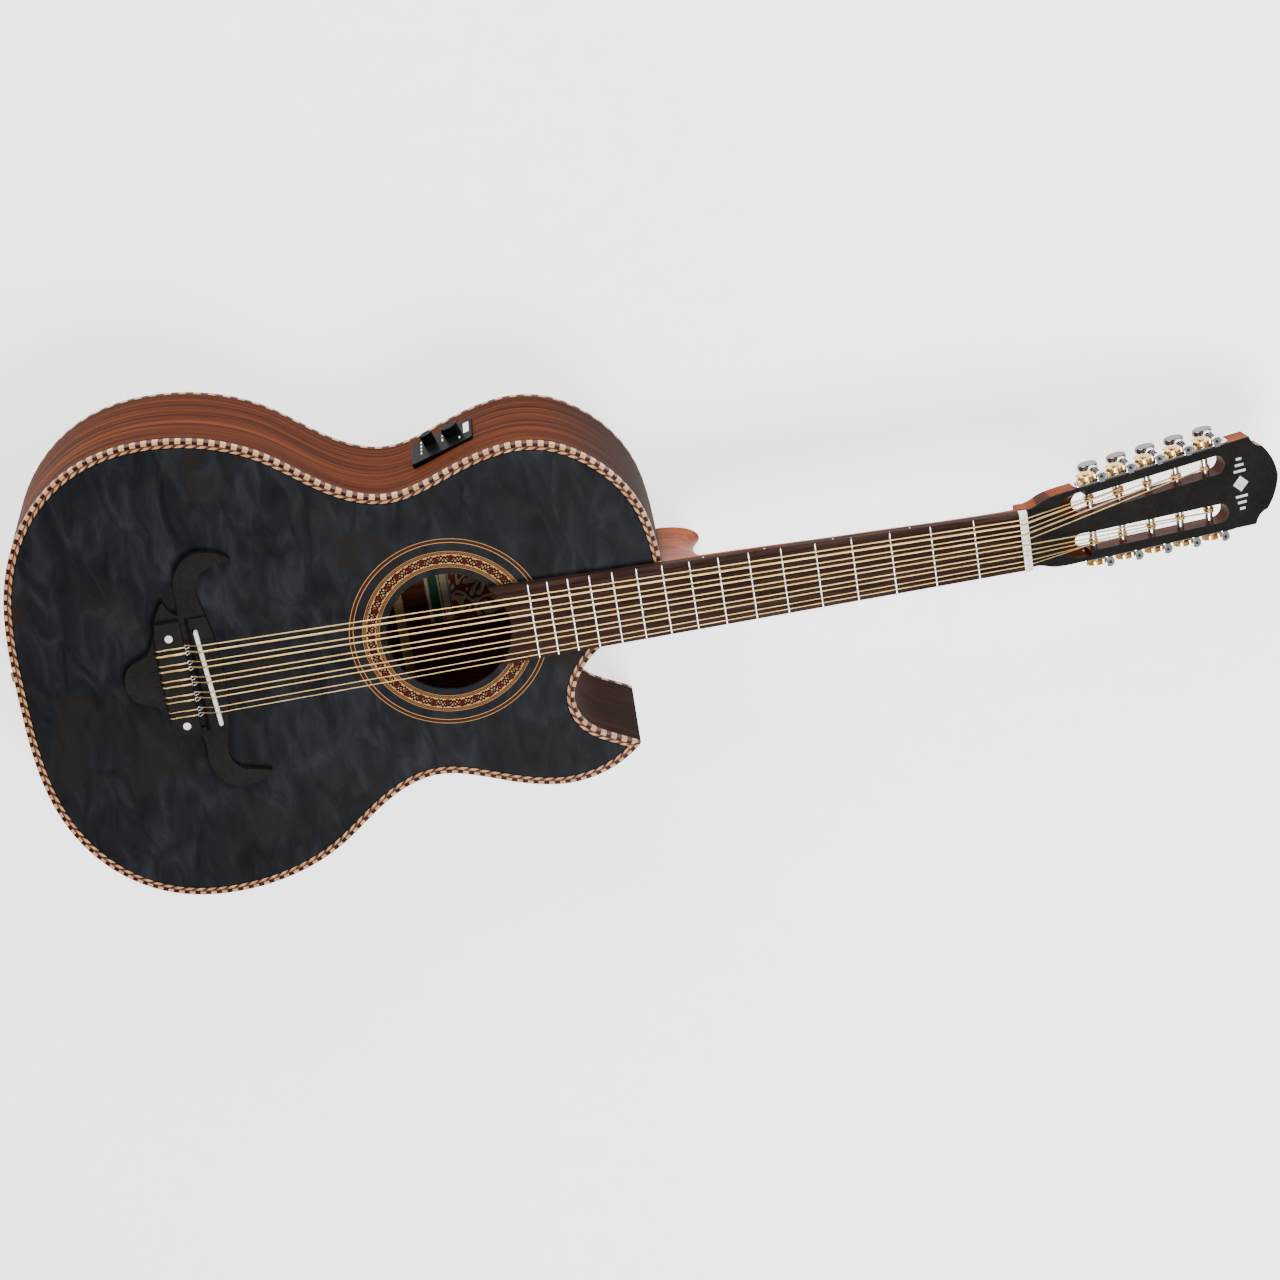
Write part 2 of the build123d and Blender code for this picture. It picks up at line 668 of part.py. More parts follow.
def build_bridge():
    face = bridge_face()
    base = slab(face, 0, bridge_base)
    for x0, x1, top in (tie_block, saddle_block):
        base += slab(face, 0, top) & block(x0, x1, -block_half_width, block_half_width, 0, top)
    base -= block(tie_block[1], saddle_block[0], -48, 48, 3.2, 20)
    ramp = Polyline((saddle_block[0], 0, 4.0), (saddle_block[0] + 3.5, 0, 7.6), (saddle_block[0], 0, 7.6),
                    close=True)
    base -= extrude(make_face(ramp.edges()), amount=block_half_width + 1, both=True)
    x, length, width, turn = saddle_line
    base -= slab(saddle_outline(width, length), slot_floor, 30)
    for radius, nut_y, saddle_y in string_table():
        base -= rod((tie_block[0] - 10, saddle_y, tie_hole_z), (tie_block[1] + 2, saddle_y, tie_hole_z),
                    radius + 0.2)
    dots = []
    for side in (-1, 1):
        spot = Pos(tie_block[1] - 11, side * dot_y + string_shift)
        dots.append(slab(spot * Circle(dot_radius), tie_block[2] - 1, tie_block[2]))
        base -= dots[-1]
    add("bridge", base)
    add("bridge_dots", *dots)
    add("saddle_pickup", slab(saddle_outline(width - 0.8, length - 4), slot_floor, saddle_foot))


# ---- electrics ----

def place_preamp():
    """A frame on the bass side: x along the side, y towards the back, z straight out."""
    edge = slab(outer_face, -70, -60) & block(preamp_x - 0.01, preamp_x + 0.01, 0, 250, -70, -60)
    surface_y = edge.bounding_box().max.Y
    turn = math.radians(preamp_turn)
    out = (-math.sin(turn), math.cos(turn), 0)
    return Plane(origin=(preamp_x, surface_y, preamp_z), x_dir=(math.cos(turn), math.sin(turn), 0), z_dir=out)


def build_preamp():
    wide, tall, proud = preamp_plate
    plate = extrude(RectangleRounded(wide, tall, 3), amount=proud)
    plate += extrude(RectangleRounded(wide, tall, 3), amount=-3)
    plate = preamp_frame * fillet(plate.faces().sort_by(Axis.Z)[-1].edges(), 0.8)
    plate -= slab(outer_face, -body_depth, 0)
    box_wide, box_tall, box_deep = preamp_box
    case = preamp_frame * (Pos(0, 0, -box_deep / 2 + 1.0) * Box(box_wide, box_tall, box_deep + 2))
    case -= preamp_frame * (Pos(0, 0, -box_deep / 2) * Box(box_wide - 4, box_tall - 4, box_deep - 4))
    panel = plate + case
    window_x, window_y = window_place
    window = Pos(window_x, window_y, proud - 0.5) * Box(*window_size, 1.0)
    panel -= preamp_frame * window
    for name, (x, y, radius, tall) in knobs.items():
        panel -= preamp_frame * (Pos(x, y, 0) * Cylinder(knob_shaft + running_gap, 12))
        grip = Pos(x, y, proud + 0.3 + tall / 2) * Cylinder(radius, tall)
        grip = fillet(grip.edges().group_by(Axis.Z)[-1], 1.0)
        for flute in range(12):
            turn = Rot(0, 0, 30 * flute)
            grip -= Pos(x, y, proud + 1.3 + tall / 2) * turn * Pos(radius + 0.35, 0) * Cylinder(0.8, tall)
        grip += Pos(x, y, proud / 2) * Cylinder(knob_shaft, proud + 3)
        pointer = Pos(x, y + radius / 2, proud + 0.3 + tall) * Box(0.8, radius * 0.8, 0.8)
        add(name, preamp_frame * (grip - pointer))
    add("preamp", panel)
    add("preamp_window", preamp_frame * (Pos(window_x, window_y, proud - 0.5) * Box(*window_size, 1.0)))


def build_jack():
    z = -body_depth / 2
    body = rod((tail_x, 0, z), (tail_x + jack_length, 0, z), jack_radius)
    flange = rod((tail_x - 2.0, 0, z), (tail_x, 0, z), button_radius)
    waist = rod((tail_x - 8.0, 0, z), (tail_x - 2.0, 0, z), 6.0)
    lip = rod((tail_x - button_length, 0, z), (tail_x - 8.0, 0, z), button_radius)
    body += flange + waist + lip
    body -= rod((tail_x - 30, 0, z), (tail_x + jack_length - 3, 0, z), jack_bore)
    add("output_jack", body)


def write_part():
    os.makedirs("parts", exist_ok=True)
    shift = Pos(nut_x, 0, body_depth)
    for name, shapes in parts.items():
        solids = [solid for shape in shapes for solid in shape.solids()]
        moved = [shift * solid for solid in solids]
        export_step(moved[0] if len(moved) == 1 else Compound(children=moved), f"parts/{name}.step")
    print(len(parts), "nodes; nut at x", round(nut_x, 3))


preamp_frame = place_preamp()
build_plates()
build_rim(*build_blocks())
build_braces()
build_label()
build_neck()
build_fingerboard()
build_tuners()
build_strings()
build_bridge()
build_preamp()
build_jack()
write_part()
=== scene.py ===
import bpy
import json
import math
from mathutils import Matrix, Vector


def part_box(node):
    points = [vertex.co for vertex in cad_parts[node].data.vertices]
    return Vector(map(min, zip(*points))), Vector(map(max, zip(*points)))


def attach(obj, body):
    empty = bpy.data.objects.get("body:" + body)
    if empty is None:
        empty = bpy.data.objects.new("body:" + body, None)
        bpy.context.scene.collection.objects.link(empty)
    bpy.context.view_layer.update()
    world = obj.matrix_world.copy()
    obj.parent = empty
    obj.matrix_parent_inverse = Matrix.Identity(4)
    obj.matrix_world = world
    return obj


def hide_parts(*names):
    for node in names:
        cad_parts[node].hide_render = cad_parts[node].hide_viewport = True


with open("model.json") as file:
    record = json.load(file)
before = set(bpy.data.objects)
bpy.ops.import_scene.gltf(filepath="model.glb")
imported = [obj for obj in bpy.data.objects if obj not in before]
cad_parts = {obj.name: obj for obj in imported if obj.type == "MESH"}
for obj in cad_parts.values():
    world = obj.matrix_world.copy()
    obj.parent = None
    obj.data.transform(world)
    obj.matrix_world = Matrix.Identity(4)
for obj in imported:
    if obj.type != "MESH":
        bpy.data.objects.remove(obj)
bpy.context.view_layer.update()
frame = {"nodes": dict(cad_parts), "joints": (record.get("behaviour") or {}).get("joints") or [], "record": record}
nodes = frame["nodes"]

top_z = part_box("soundboard")[1].z
nut_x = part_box("nut")[0].x
rosette_low, rosette_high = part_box("rosette")
hole_x = rosette_low.x + rosette_high.y
label_low, label_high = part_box("label")


# ---- shader helpers ----

class Paint:
    """One material, and short names for the nodes it is made of."""

    def __init__(self, name, rough=0.5, metal=0.0, coat=0.0, coat_rough=0.1, gloss=0.25):
        self.material = bpy.data.materials.new(name)
        self.material.use_nodes = True
        self.tree = self.material.node_tree
        self.shader = next(n for n in self.tree.nodes if n.type == "BSDF_PRINCIPLED")
        self.shader.inputs["Roughness"].default_value = rough
        self.shader.inputs["Metallic"].default_value = metal
        self.shader.inputs["Specular IOR Level"].default_value = gloss
        self.shader.inputs["Coat Weight"].default_value = coat
        self.shader.inputs["Coat Roughness"].default_value = coat_rough

    def link(self, value, socket):
        if isinstance(value, bpy.types.NodeSocket):
            self.tree.links.new(value, socket)
        else:
            socket.default_value = value

    def place(self, scale=(1, 1, 1), shift=(0, 0, 0)):
        coords = self.tree.nodes.new("ShaderNodeTexCoord")
        mapping = self.tree.nodes.new("ShaderNodeMapping")
        mapping.inputs["Scale"].default_value = scale
        mapping.inputs["Location"].default_value = shift
        self.tree.links.new(coords.outputs["Object"], mapping.inputs["Vector"])
        return mapping.outputs["Vector"]

    def split(self, vector):
        node = self.tree.nodes.new("ShaderNodeSeparateXYZ")
        self.tree.links.new(vector, node.inputs[0])
        return node.outputs

    def uv(self):
        return self.split(self.tree.nodes.new("ShaderNodeUVMap").outputs["UV"])

    def noise(self, vector, scale=1.0, detail=3.0, rough=0.5, warp=0.0):
        node = self.tree.nodes.new("ShaderNodeTexNoise")
        node.inputs["Scale"].default_value = scale
        node.inputs["Detail"].default_value = detail
        node.inputs["Roughness"].default_value = rough
        node.inputs["Distortion"].default_value = warp
        self.tree.links.new(vector, node.inputs["Vector"])
        return node.outputs["Fac"]

    def cells(self, value):
        node = self.tree.nodes.new("ShaderNodeTexWhiteNoise")
        node.noise_dimensions = "1D"
        self.link(value, node.inputs["W"])
        return node.outputs["Value"]

    def math(self, kind, a, b=0.0):
        node = self.tree.nodes.new("ShaderNodeMath")
        node.operation = kind
        self.link(a, node.inputs[0])
        self.link(b, node.inputs[1])
        return node.outputs[0]

    def span(self, value, low, high):
        """1 where value lies between low and high."""
        above = self.math("GREATER_THAN", value, low)
        below = self.math("LESS_THAN", value, high)
        return self.math("MULTIPLY", above, below)

    def ease(self, value, low, high):
        """0 below low, 1 above high, smooth between."""
        node = self.tree.nodes.new("ShaderNodeMapRange")
        node.interpolation_type = "SMOOTHSTEP"
        node.inputs["From Min"].default_value = low
        node.inputs["From Max"].default_value = high
        self.tree.links.new(value, node.inputs["Value"])
        return node.outputs["Result"]

    def ramp(self, value, *stops):
        node = self.tree.nodes.new("ShaderNodeValToRGB")
        while len(node.color_ramp.elements) < len(stops):
            node.color_ramp.elements.new(0.5)
        for element, (at, colour) in zip(node.color_ramp.elements, stops):
            element.position = at
            element.color = (*colour, 1)
        self.link(value, node.inputs["Fac"])
        return node.outputs["Color"]

    def mix(self, factor, a, b):
        node = self.tree.nodes.new("ShaderNodeMix")
        node.data_type = "RGBA"
        self.link(factor, node.inputs["Factor"])
        for value, socket in ((a, node.inputs[6]), (b, node.inputs[7])):
            self.link(value if isinstance(value, bpy.types.NodeSocket) else (*value, 1), socket)
        return node.outputs[2]

    def finish(self, colour, rough=None, height=None, depth=0.0002, strength=0.4):
        self.link(colour, self.shader.inputs["Base Color"])
        if rough is not None:
            self.link(rough, self.shader.inputs["Roughness"])
        if height is not None:
            bump = self.tree.nodes.new("ShaderNodeBump")
            bump.inputs["Strength"].default_value = strength
            bump.inputs["Distance"].default_value = depth
            self.tree.links.new(height, bump.inputs["Height"])
            self.tree.links.new(bump.outputs["Normal"], self.shader.inputs["Normal"])
        return self.material

    def between(self, value, low, high):
        """value, 0 to 1, as a number from low to high."""
        return self.math("ADD", self.math("MULTIPLY", value, high - low), low)


# ---- materials ----

def quilted_top():
    p = Paint("quilted_top", gloss=0.035)
    sway = p.noise(p.place((9, 7, 9)), detail=2)
    ripple = p.noise(p.place((58, 24, 20)), detail=3, rough=0.5, warp=1.1)
    blotch = p.noise(p.place((15, 9, 9), (3, 1, 0)), detail=3, warp=0.8)
    pores = p.noise(p.place((130, 2200, 900)), detail=2)
    figure = p.math("MULTIPLY", ripple, p.between(sway, 0.6, 1.4))
    stain = p.ramp(figure, (0.26, (0.0058, 0.0064, 0.0078)), (0.5, (0.0118, 0.0131, 0.016)),
                   (0.76, (0.0235, 0.0258, 0.0312)))
    warm = p.mix(p.ease(blotch, 0.5, 0.68), stain, (0.0165, 0.0135, 0.0122))
    return p.finish(p.mix(p.between(pores, 0.0, 0.22), warm, (0.005, 0.005, 0.006)),
                    p.between(ripple, 0.36, 0.52), figure, 0.0004, 0.22)


def straight_wood(name, dark, mid, light, across, coat, rough, shade=None, gloss=0.02):
    """Straight grain. across gives how finely each axis is cut by it."""
    p = Paint(name, coat=coat, coat_rough=0.2, gloss=gloss)
    wide = p.noise(p.place(across), detail=3, rough=0.55, warp=0.35)
    fine = p.noise(p.place([v * 4.5 for v in across], (7, 3, 1)), detail=3, rough=0.6)
    lines = p.math("ADD", p.math("MULTIPLY", wide, 0.62), p.math("MULTIPLY", fine, 0.38))
    colour = p.ramp(lines, (0.34, dark), (0.47, mid), (0.62, light))
    if shade:
        colour = shade(p, colour)
    return p.finish(colour, p.between(fine, rough - 0.06, rough + 0.1), fine, 0.00015, 0.3)


def painted_shade_by_heel(p, colour):
    x, y, z = p.split(p.place())
    # Painted shade: the sides darken towards the neck's heel.
    near = p.ease(x, hole_x + 0.085, hole_x + 0.175)
    colour = p.mix(p.math("MULTIPLY", near, 0.86), colour, (0.012, 0.005, 0.003))
    # Painted shade: the cutaway's wall on the treble side is darkened much more.
    cutaway_shade = p.math("MULTIPLY", p.math("LESS_THAN", y, -0.015), p.ease(x, hole_x + 0.075, hole_x + 0.1))
    return p.mix(p.math("MULTIPLY", cutaway_shade, 0.72), colour, (0.008, 0.003, 0.002))


def neck_shade(p, colour):
    """Painted shade: dark in the head's slots and along the heel's edge."""
    x, y, z = p.split(p.place())
    off = p.math("ABSOLUTE", y)
    normal = p.split(p.tree.nodes.new("ShaderNodeNewGeometry").outputs["True Normal"])
    slots = p.math("MULTIPLY", p.span(off, 0.0075, 0.0315), p.span(x, nut_x + 0.016, nut_x + 0.196))
    slots = p.math("MULTIPLY", slots, p.math("GREATER_THAN", normal[2], -0.6))
    colour = p.mix(p.math("MULTIPLY", slots, 0.78), colour, (0.022, 0.006, 0.003))
    # Painted shade in a narrow band along the heel where it meets the body.
    heel_joint_shade = p.ease(p.math("MULTIPLY", x, -1.0), -0.022, -0.015)
    return p.mix(p.math("MULTIPLY", heel_joint_shade, 0.6), colour, (0.045, 0.012, 0.004))


def plain(name, low, high, rough, metal=0.0, coat=0.0, grain=260, depth=0.00004, gloss=0.2):
    p = Paint(name, metal=metal, coat=coat, gloss=0.5 if metal else gloss)
    speck = p.noise(p.place((grain, grain, grain)), detail=4, rough=0.6)
    patch = p.noise(p.place((28, 28, 28), (2, 5, 1)), detail=2)
    tone = p.math("ADD", p.math("MULTIPLY", speck, 0.5), p.math("MULTIPLY", patch, 0.5))
    return p.finish(p.ramp(tone, (0.32, low), (0.68, high)), p.between(speck, rough - 0.05, rough + 0.08),
                    speck, depth, 0.25)


def wound_string(name, low, high):
    p = Paint(name, metal=1.0)
    turns = p.noise(p.place((3400, 60, 60)), detail=1)
    patch = p.noise(p.place((45, 300, 300)), detail=2)
    return p.finish(p.ramp(p.math("ADD", p.math("MULTIPLY", turns, 0.5), p.math("MULTIPLY", patch, 0.5)),
                           (0.35, low), (0.65, high)), p.between(turns, 0.24, 0.4), turns, 0.0001, 0.5)


CREAM = (0.46, 0.25, 0.11)
PALE = (0.62, 0.39, 0.2)
MAROON = (0.022, 0.005, 0.005)


def block_binding(name, pitch, share):
    p = Paint(name, gloss=0.06)
    u, v, _ = p.uv()
    count = p.math("DIVIDE", u, pitch)
    at = p.math("FRACT", count)
    tone = p.cells(p.math("FLOOR", count))
    grain = p.noise(p.place((240, 240, 800)), detail=3)
    light = p.mix(tone, CREAM, PALE)
    light = p.mix(p.math("MULTIPLY", grain, 0.3), light, (0.5, 0.3, 0.16))
    dark = p.mix(p.cells(p.math("ADD", p.math("FLOOR", count), 0.5)), MAROON, (0.04, 0.009, 0.007))
    # Painted highlight: a lighter line along the rounded top edge of the dark blocks.
    dark = p.mix(p.span(v, 0.31, 0.42), dark, (0.16, 0.07, 0.062))
    block = p.span(at, 0.02, share)
    return p.finish(p.mix(block, dark, light), p.between(grain, 0.3, 0.42), grain, 0.00005, 0.2)


def rope_purfling(name, pitch):
    """A pink line at the outer edge, then slanting cream and dark dashes."""
    p = Paint(name, gloss=0.06)
    u, v, _ = p.uv()
    slant = p.math("FRACT", p.math("ADD", p.math("DIVIDE", u, pitch), p.math("MULTIPLY", v, 0.75)))
    tone = p.cells(p.math("FLOOR", p.math("DIVIDE", u, pitch)))
    grain = p.noise(p.place((300, 300, 300)), detail=3)
    light = p.mix(tone, CREAM, PALE)
    rope = p.mix(p.span(slant, 0.0, 0.5), (0.03, 0.011, 0.009), light)
    rope = p.mix(p.span(slant, 0.5, 0.64), rope, (0.34, 0.14, 0.08))
    colour = p.mix(p.math("LESS_THAN", v, 0.3), rope, (0.03, 0.011, 0.009))
    colour = p.mix(p.math("LESS_THAN", v, 0.2), colour, (0.3, 0.1, 0.065))
    colour = p.mix(p.math("GREATER_THAN", v, 0.9), colour, (0.03, 0.011, 0.009))
    colour = p.mix(p.math("MULTIPLY", grain, 0.25), colour, (0.2, 0.1, 0.06))
    return p.finish(colour, 0.4, grain, 0.00005, 0.2)


def rosette_paint():
    p = Paint("rosette_marquetry", gloss=0.03)
    x, y, z = p.split(p.place())
    dx = p.math("MULTIPLY", p.math("SUBTRACT", x, hole_x), 1000.0)
    dy = p.math("MULTIPLY", y, 1000.0)
    r = p.math("SQRT", p.math("ADD", p.math("MULTIPLY", dx, dx), p.math("MULTIPLY", dy, dy)))
    turn = p.math("ARCTAN2", dy, dx)
    cream, black, red = (0.4, 0.2, 0.07), (0.006, 0.003, 0.003), (0.05, 0.006, 0.006)
    grain = p.noise(p.place((320, 320, 320)), detail=3)
    ground = p.mix(grain, cream, (0.52, 0.29, 0.12))

    cell = p.math("MULTIPLY", turn, 34 / (2 * math.pi))
    side = p.math("MODULO", p.math("ADD", p.math("FLOOR", cell), 100.0), 2.0)
    along = p.math("MULTIPLY", p.math("ABSOLUTE", p.math("SUBTRACT", p.math("FRACT", cell), 0.5)), 12.0)
    out = p.math("ABSOLUTE", p.math("SUBTRACT", r, p.math("ADD", p.math("MULTIPLY", side, 2.6), 63.9)))
    block = p.math("LESS_THAN", p.math("ADD", along, p.math("MULTIPLY", out, 0.7)), 3.0)
    mosaic = ground
    for phase, reach in ((0.0, 3.1), (2.1, 1.9), (4.2, 2.6)):
        wave = p.math("MULTIPLY", p.math("SINE", p.math("ADD", p.math("MULTIPLY", turn, 51.0), phase)), reach)
        gap = p.math("ABSOLUTE", p.math("SUBTRACT", p.math("SUBTRACT", r, 65.2), wave))
        mosaic = p.mix(p.math("LESS_THAN", gap, 1.05), mosaic, black)
    mosaic = p.mix(block, mosaic, red)

    rope = p.math("LESS_THAN", p.math("FRACT", p.math("ADD", p.math("MULTIPLY", turn, 46.0), r)), 0.28)
    check = p.math("LESS_THAN", p.math("FRACT", p.math("MULTIPLY", turn, 62.0)), 0.5)
    colour = p.mix(p.span(r, 61.3, 69.1), (0.022, 0.007, 0.005), mosaic)
    for low, high in ((58.0, 58.4), (60.9, 61.3), (69.1, 69.5), (72.0, 72.4), (79.8, 80.35), (83.05, 83.7)):
        colour = p.mix(p.span(r, low, high), colour, ground)
    for low, high in ((58.9, 60.3), (70.1, 71.5)):
        colour = p.mix(p.math("MULTIPLY", p.span(r, low, high), rope), colour, ground)
    colour = p.mix(p.math("MULTIPLY", p.span(r, 80.5, 82.9), check), colour, (0.055, 0.02, 0.013))
    return p.finish(colour, 0.42, grain, 0.00005, 0.2)


def label_paint():
    """A green strip and a scrolled ornament that stands for no real label."""
    p = Paint("label_print")
    x, y, z = p.split(p.place())
    fibre = p.noise(p.place((900, 900, 900)), detail=3)
    paper = p.mix(fibre, (0.5, 0.4, 0.27), (0.62, 0.52, 0.38))
    scroll = p.noise(p.place((34, 34, 1), (4, 2, 0)), detail=1, warp=1.6)
    curls = p.span(p.math("FRACT", p.math("MULTIPLY", scroll, 5.0)), 0.0, 0.45)
    field = p.math("GREATER_THAN", x, label_low.x + 0.021)
    colour = p.mix(p.math("MULTIPLY", curls, field), paper, (0.2, 0.05, 0.025))
    green = p.span(x, label_low.x + 0.003, label_low.x + 0.011)
    colour = p.mix(green, colour, (0.03, 0.1, 0.05))
    for at in (0.0125, 0.0195):
        line = p.span(x, label_low.x + at, label_low.x + at + 0.0008)
        colour = p.mix(line, colour, (0.06, 0.04, 0.03))
    return p.finish(colour, 0.8, fibre, 0.0001, 0.3)


def roller_paint():
    """Brass where the gear stands outside the head's edge, and steel inside it."""
    p = Paint("roller_metal", metal=1.0)
    x, y, z = p.split(p.place())
    first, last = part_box("bass_roller_1"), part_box("bass_roller_5")
    x0, x1 = ((b[0].x + b[1].x) / 2 for b in (first, last))
    slope = (last[1].y - first[1].y) / (x1 - x0)
    edge = p.math("ADD", p.math("MULTIPLY", p.math("SUBTRACT", x, x0), slope), first[1].y - 0.0085)
    gear = p.math("GREATER_THAN", p.math("ABSOLUTE", y), edge)
    brush = p.noise(p.place((500, 500, 500)), detail=3)
    steel = p.ramp(brush, (0.3, (0.5, 0.49, 0.46)), (0.7, (0.74, 0.73, 0.69)))
    brass = p.ramp(brush, (0.3, (0.58, 0.37, 0.13)), (0.7, (0.84, 0.61, 0.28)))
    return p.finish(p.mix(gear, steel, brass), p.between(brush, 0.18, 0.32), brush, 0.00005, 0.3)


paints = {
    "quilted_top": quilted_top(),
    "rosewood": straight_wood("rosewood", (0.013, 0.0035, 0.0018), (0.055, 0.013, 0.0042),
                              (0.125, 0.0315, 0.0092), (3, 3, 150), 0.0, 0.58, painted_shade_by_heel, 0.015),
    "back_wood": straight_wood("back_wood", (0.028, 0.008, 0.004), (0.115, 0.033, 0.012), (0.21, 0.07, 0.027),
                               (3, 90, 20), 0.06, 0.4),
    "spruce": straight_wood("spruce", (0.3, 0.17, 0.08), (0.5, 0.31, 0.15), (0.62, 0.42, 0.23),
                            (4, 190, 190), 0.0, 0.6),
    "mahogany": straight_wood("mahogany", (0.085, 0.014, 0.0034), (0.18, 0.034, 0.007), (0.29, 0.066, 0.0145),
                              (7, 120, 90), 0.02, 0.34, neck_shade),
    "dark_fingerboard": straight_wood("dark_fingerboard", (0.012, 0.0055, 0.0042), (0.027, 0.0132, 0.0098),
                                      (0.05, 0.0265, 0.0195), (9, 260, 260), 0.0, 0.42),
    "black_lacquer": plain("black_lacquer", (0.0075, 0.0072, 0.007), (0.015, 0.0142, 0.0132), 0.42,
                           gloss=0.05),
    "bone": plain("bone", (0.74, 0.72, 0.66), (0.87, 0.86, 0.82), 0.3, coat=0.3, grain=420),
    "nickel": plain("nickel", (0.62, 0.61, 0.58), (0.82, 0.81, 0.78), 0.22, metal=1.0, grain=600),
    "chrome": plain("chrome", (0.74, 0.74, 0.75), (0.9, 0.9, 0.91), 0.09, metal=1.0, grain=600),
    # Painted reflection: the buttons' chrome is darkened to stand in for a dark room reflected in it.
    "chrome_painted_dark_reflection": plain("chrome_painted_dark_reflection", (0.1, 0.098, 0.096), (0.2, 0.196, 0.19), 0.1, metal=1.0,
                           grain=600),
    "steel": plain("steel", (0.42, 0.42, 0.42), (0.6, 0.6, 0.59), 0.3, metal=1.0, grain=600),
    "string_bronze": wound_string("string_bronze", (0.6, 0.36, 0.12), (0.92, 0.67, 0.31)),
    "black_plastic": plain("black_plastic", (0.002, 0.002, 0.0022), (0.006, 0.006, 0.0066), 0.3, grain=1400,
                           depth=0.0001, gloss=0.01),
    "window_plastic": plain("window_plastic", (0.66, 0.67, 0.66), (0.84, 0.85, 0.84), 0.2, coat=0.5),
    "pearl": plain("pearl", (0.5, 0.5, 0.49), (0.82, 0.82, 0.8), 0.22, coat=0.6, grain=160),
    "copper_strip": plain("copper_strip", (0.42, 0.2, 0.1), (0.6, 0.32, 0.17), 0.3, metal=1.0),
    "label_paper": label_paint(),
    "marquetry": rosette_paint(),
    "gear_brass": roller_paint(),
}
for entry in frame["record"]["subparts"]:
    node, slot = entry["node"], entry["material_slot"]
    if slot == "binding" or node == "top_purfling":
        continue
    if node == "back_plate":
        slot = "back_wood"
    # The tuner buttons get the darkened chrome, a painted dark reflection.
    if "_button_" in node:
        slot = "chrome_painted_dark_reflection"
    nodes[node].data.materials.clear()
    nodes[node].data.materials.append(paints[slot])


# ---- edge strips, swept round the outlines the frame's own strips have ----

def face_loops(node, up):
    """The boundary loops of a node's flat top (up 1) or bottom (up -1), as lists of (x, y)."""
    mesh = nodes[node].data
    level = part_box(node)[1 if up > 0 else 0].z
    used = {}
    for face in mesh.polygons:
        if face.normal.z * up > 0.9 and abs(face.center.z - level) < 1e-4:
            ring = [tuple(round(c, 6) for c in mesh.vertices[i].co.xy) for i in face.vertices]
            for a, b in zip(ring, ring[1:] + ring[:1]):
                if a != b:
                    used[frozenset((a, b))] = used.get(frozenset((a, b)), 0) + 1
    steps = {}
    for pair, count in used.items():
        if count == 1:
            a, b = pair
            steps.setdefault(a, []).append(b)
            steps.setdefault(b, []).append(a)
    loops = []
    while steps:
        start = max(steps)
        ring, here, before = [start], start, None
        while True:
            onward = [q for q in steps[here] if q != before and (q not in ring or q == ring[0])]
            if not onward or onward[0] == ring[0]:
                break
            before, here = here, onward[0]
            ring.append(here)
        for q in ring:
            steps.pop(q, None)
        for q in steps:
            steps[q] = [s for s in steps[q] if s in steps]
        if len(ring) > 8:
            loops.append(ring)
    return sorted(loops, key=lambda ring: -loop_length(ring))


def loop_length(ring):
    return sum(math.dist(a, b) for a, b in zip(ring, ring[1:] + ring[:1]))


def even_loop(ring, step, reach):
    """The loop with points a step apart, its sharp corners kept and cleared of near neighbours."""
    points = [Vector(q) for q in ring]
    count = len(points)
    corners = []
    for i in range(count):
        a, b, c = points[i - 1], points[i], points[(i + 1) % count]
        if (b - a).length > 1e-6 and (c - b).length > 1e-6 and (b - a).angle(c - b) > math.radians(28):
            corners.append(b)
    out = []
    for i in range(count):
        a, b = points[i], points[(i + 1) % count]
        parts = max(1, round((b - a).length / step))
        out += [a.lerp(b, k / parts) for k in range(parts)]
    return [q for q in out if q in corners or all((q - c).length > reach for c in corners)]


def inward(points):
    """Each point's direction towards the inside, lengthened where the outline turns sharply."""
    count = len(points)
    area = sum(points[i].x * points[(i + 1) % count].y - points[(i + 1) % count].x * points[i].y
               for i in range(count))
    turn = 1 if area > 0 else -1
    out = []
    for i in range(count):
        before = (points[i] - points[i - 1]).normalized()
        after = (points[(i + 1) % count] - points[i]).normalized()
        n1, n2 = Vector((-before.y, before.x)) * turn, Vector((-after.y, after.x)) * turn
        middle = (n1 + n2).normalized()
        out.append(middle / max(middle.dot(n1), 0.4))
    return out


def strip(name, node, paint, outline, profile):
    """A closed strip of a profile of (inward, height, v) points. Its UVs run along the outline."""
    normals = inward(outline)
    length, run = 0.0, [0.0]
    for i in range(len(outline)):
        length += (outline[(i + 1) % len(outline)] - outline[i]).length
        run.append(length)
    rows = len(profile)
    verts = [(q.x + n.x * off, q.y + n.y * off, z) for q, n in zip(outline, normals) for off, z, _ in profile]
    faces, uvs = [], []
    for i in range(len(outline)):
        j = (i + 1) % len(outline)
        for k in range(rows):
            m = (k + 1) % rows
            faces.append((i * rows + k, j * rows + k, j * rows + m, i * rows + m))
            v0 = profile[k][2]
            v1 = profile[m][2]
            uvs += [(run[i], v0), (run[i + 1], v0), (run[i + 1], v1), (run[i], v1)]
    mesh = bpy.data.meshes.new(name)
    mesh.from_pydata(verts, [], faces)
    layer = mesh.uv_layers.new(name="UVMap")
    for loop, uv in zip(layer.data, uvs):
        loop.uv = uv
    mesh.validate()
    obj = bpy.data.objects.new(name, mesh)
    bpy.context.scene.collection.objects.link(obj)
    bpy.context.view_layer.objects.active = obj
    obj.select_set(True)
    bpy.ops.object.mode_set(mode="EDIT")
    bpy.ops.mesh.select_all(action="SELECT")
    bpy.ops.mesh.normals_make_consistent(inside=False)
    bpy.ops.object.mode_set(mode="OBJECT")
    obj.select_set(False)
    mesh.materials.append(paint)
    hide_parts(node)
    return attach(obj, "instrument")


